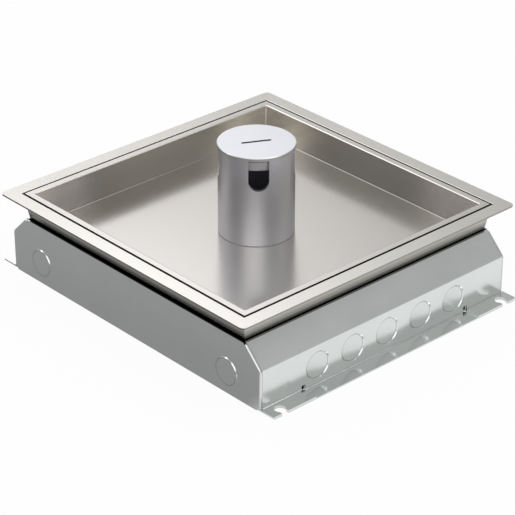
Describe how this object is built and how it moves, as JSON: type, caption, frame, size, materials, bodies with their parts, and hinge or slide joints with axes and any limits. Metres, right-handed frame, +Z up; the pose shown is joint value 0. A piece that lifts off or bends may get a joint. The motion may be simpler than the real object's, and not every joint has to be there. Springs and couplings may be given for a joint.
{
  "type": "floor socket box",
  "caption": "Square floor box: folded steel housing with sockets inside, levelling frame, lift-out tray for the floor covering and a round cable tube with coin-turned lid.",
  "frame": {"origin": "on the raw floor under the middle of the box", "axes": "+Z up; X along the side with five knock-outs, which faces -Y; -X is the left end plate"},
  "size_m": [0.3, 0.3378, 0.1293],
  "materials": {
    "galvanised_sheet": "galvanised, matt",
    "stainless": "brushed",
    "satin_tube": "satin, turned",
    "lid_metal": "fine satin",
    "ring_nut_metal": "turned",
    "plated_screws": "zinc plated",
    "brass": "plain",
    "socket_plastic": "moulded, light gloss",
    "black_rubber": "matt"
  },
  "bodies": {
    "box": {"base_plate": "galvanised_sheet", "side_wall_front": "galvanised_sheet", "side_wall_rear": "galvanised_sheet", "end_plate_left": "galvanised_sheet", "end_plate_right": "galvanised_sheet", "earth_stud": "brass", "earth_nuts": "brass", "tie_bar_front": "galvanised_sheet", "tie_bar_rear": "galvanised_sheet", "socket_carrier_left": "galvanised_sheet", "socket_carrier_right": "galvanised_sheet", "carrier_screws": "plated_screws", "socket_left_front": "socket_plastic", "socket_left_middle": "socket_plastic", "socket_left_rear": "socket_plastic", "socket_right_front": "socket_plastic", "socket_right_middle": "socket_plastic", "socket_right_rear": "socket_plastic"},
    "levelling_screw_front_left": {"levelling_screw_front_left": "plated_screws"},
    "levelling_screw_front_right": {"levelling_screw_front_right": "plated_screws"},
    "levelling_screw_rear_left": {"levelling_screw_rear_left": "plated_screws"},
    "levelling_screw_rear_right": {"levelling_screw_rear_right": "plated_screws"},
    "frame": {"frame": "stainless", "frame_seal": "black_rubber", "corner_bracket_front_left": "galvanised_sheet", "corner_bracket_front_right": "galvanised_sheet", "corner_bracket_rear_left": "galvanised_sheet", "corner_bracket_rear_right": "galvanised_sheet", "levelling_nuts": "plated_screws"},
    "tray": {"tray": "stainless", "tube": "satin_tube", "tube_gasket": "black_rubber", "tube_ring_nut": "ring_nut_metal"},
    "lid_ring": {"lid_seal": "black_rubber"},
    "lid": {"lid_plate": "lid_metal", "lid_sleeve": "satin_tube", "lid_screws": "plated_screws"}
  },
  "joints": [
    {"name": "frame_level", "type": "slide", "parent": "box", "child": "frame", "axis": [0, 0, 1], "range_m": [0, 0.012]},
    {"name": "screw_turn_front_left", "type": "hinge", "parent": "box", "child": "levelling_screw_front_left", "pos_m": [-0.114, -0.114, 0], "axis": [0, 0, 1], "range_deg": [-4330, 0]},
    {"name": "screw_turn_front_right", "type": "hinge", "parent": "box", "child": "levelling_screw_front_right", "pos_m": [0.114, -0.114, 0], "axis": [0, 0, 1], "range_deg": [-4330, 0]},
    {"name": "screw_turn_rear_left", "type": "hinge", "parent": "box", "child": "levelling_screw_rear_left", "pos_m": [-0.114, 0.114, 0], "axis": [0, 0, 1], "range_deg": [-4330, 0]},
    {"name": "screw_turn_rear_right", "type": "hinge", "parent": "box", "child": "levelling_screw_rear_right", "pos_m": [0.114, 0.114, 0], "axis": [0, 0, 1], "range_deg": [-4330, 0]},
    {"name": "tray_lift", "type": "slide", "parent": "frame", "child": "tray", "axis": [0, 0, 1], "range_m": [0, 0.08]},
    {"name": "lid_lift", "type": "slide", "parent": "tray", "child": "lid_ring", "axis": [0, 0, 1], "range_m": [0, 0.03]},
    {"name": "lid_turn", "type": "hinge", "parent": "lid_ring", "child": "lid", "pos_m": [0, 0, 0.1263], "axis": [0, 0, 1], "range_deg": [-30, 0]}
  ],
  "couplings": [
    {"joint": "screw_turn_front_left", "follows": "frame_level", "rad_per_m": -6283.2},
    {"joint": "screw_turn_front_right", "follows": "frame_level", "rad_per_m": -6283.2},
    {"joint": "screw_turn_rear_left", "follows": "frame_level", "rad_per_m": -6283.2},
    {"joint": "screw_turn_rear_right", "follows": "frame_level", "rad_per_m": -6283.2}
  ]
}
